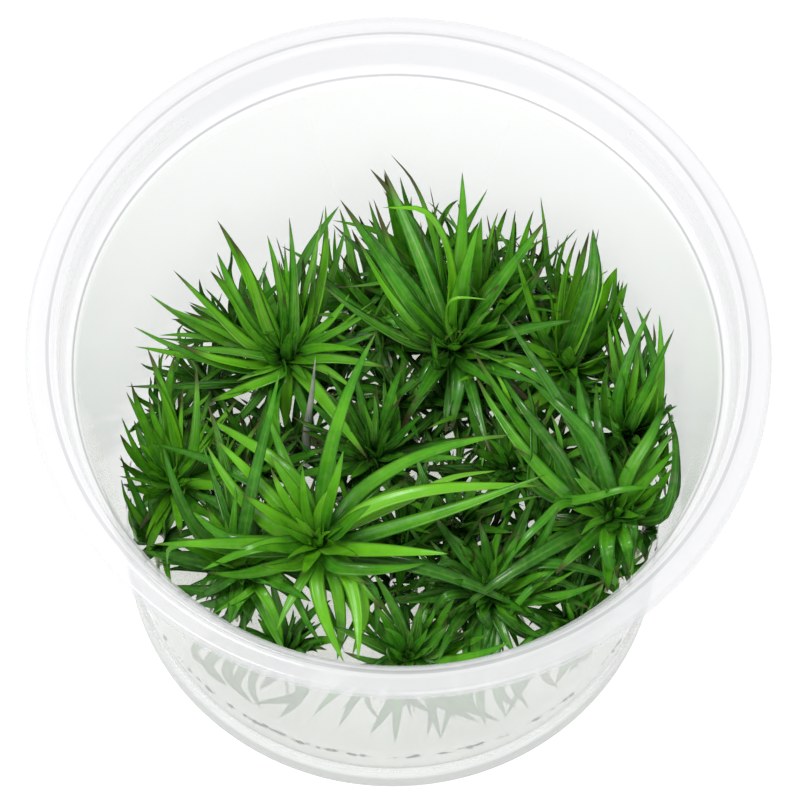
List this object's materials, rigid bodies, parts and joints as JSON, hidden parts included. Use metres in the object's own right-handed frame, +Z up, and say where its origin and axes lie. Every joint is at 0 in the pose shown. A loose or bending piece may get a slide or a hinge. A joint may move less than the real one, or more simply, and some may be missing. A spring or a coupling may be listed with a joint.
{
  "type": "tissue culture eriocaulon in its cup",
  "caption": "Rosettes of pointed green leaves crowded on clear gel in a round, open, milky clear plastic culture cup with a turned-out lip",
  "frame": {"origin": "middle of the cup's underside, on the surface that it stands on", "axes": "+Z up along the cup's axis; the side that the picture shows nearest faces -Y, and +X is to its right"},
  "size_m": [0.1, 0.1, 0.068],
  "materials": {
    "milky_plastic": "milky, see-through moulded plastic, smooth",
    "clear_gel": "clear, slightly cloudy wet gel",
    "leaf": "living leaf, satin with fine lengthwise veins",
    "dead_leaf": "dry, dull and pale"
  },
  "bodies": {
    "root": {"cup": "milky_plastic", "gel": "clear_gel", "plantlet_front_left": "leaf", "plantlet_rear_left": "leaf", "plantlet_rear_middle": "leaf", "plantlet_rear_right": "leaf", "plantlet_right": "leaf", "plantlet_low_right": "leaf", "plantlet_left_star": "leaf", "plantlet_left": "leaf", "plantlet_front_right": "leaf", "plantlet_middle": "leaf", "plantlet_middle_right": "leaf", "plantlet_front": "leaf", "plantlet_centre": "leaf", "plantlet_inner_left": "leaf", "plantlet_front_corner": "leaf", "plantlet_low_left": "leaf", "plantlet_rear": "leaf", "plantlet_rear_corner": "leaf", "withered_leaf": "dead_leaf"}
  },
  "joints": []
}
